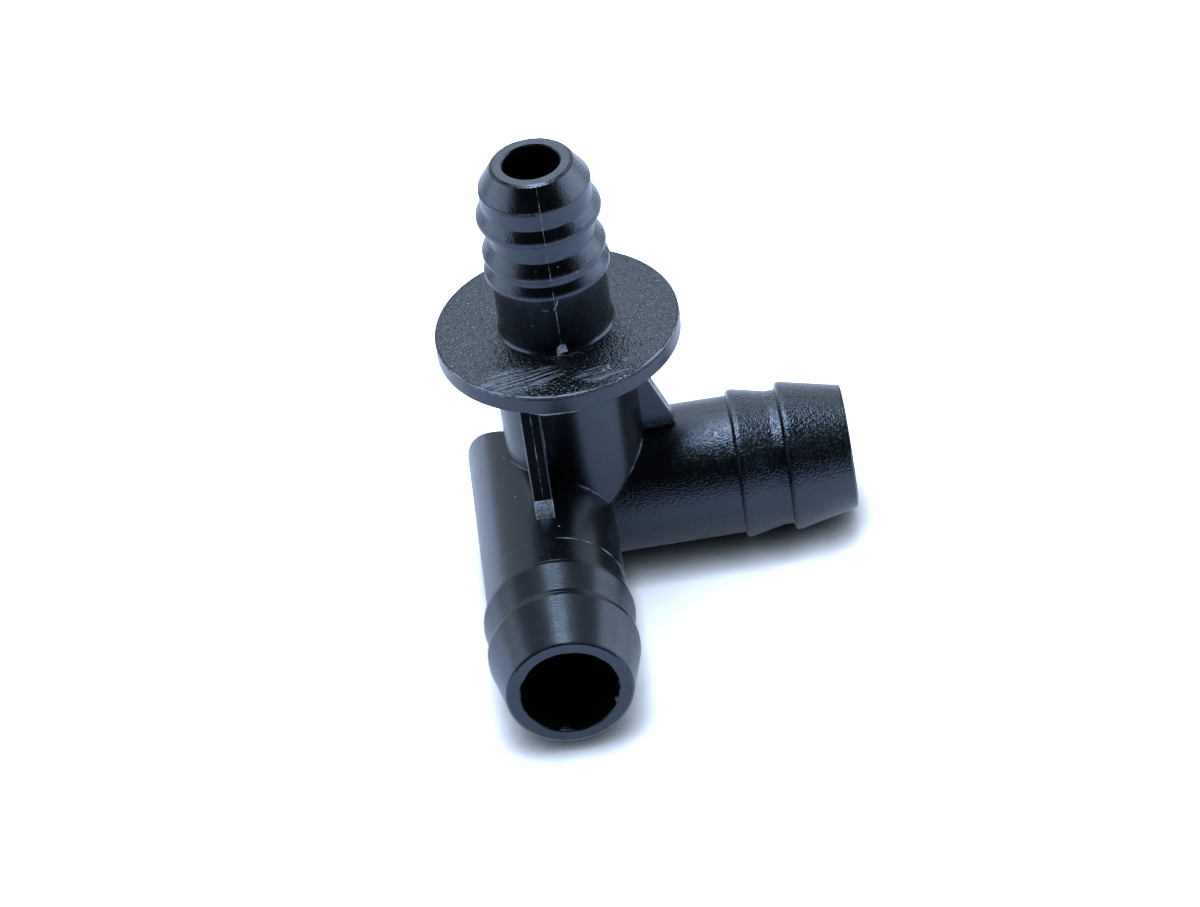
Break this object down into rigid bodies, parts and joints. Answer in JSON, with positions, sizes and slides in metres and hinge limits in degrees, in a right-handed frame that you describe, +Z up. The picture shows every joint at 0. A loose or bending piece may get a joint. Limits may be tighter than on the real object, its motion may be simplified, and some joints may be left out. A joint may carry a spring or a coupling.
{
  "type": "barbed elbow connector with push-in spigot",
  "caption": "Moulded corner hose fitting: barbed hose legs at a right angle, and a flanged, ribbed push-in spigot standing over the corner, all on one waterway.",
  "frame": {"origin": "on the spigot's axis, in the flange's upper face, which seats when the spigot is pushed home", "axes": "+Z up the spigot, +X along the side leg, -Y along the front leg"},
  "size_m": [0.0366, 0.0405, 0.0448],
  "materials": {
    "black_plastic": "moulded black, satin: fine spark-eroded grain on the legs and the flange's upper face, smoother on stem and spigot"
  },
  "bodies": {
    "root": {"fitting_body": "black_plastic"}
  },
  "joints": []
}
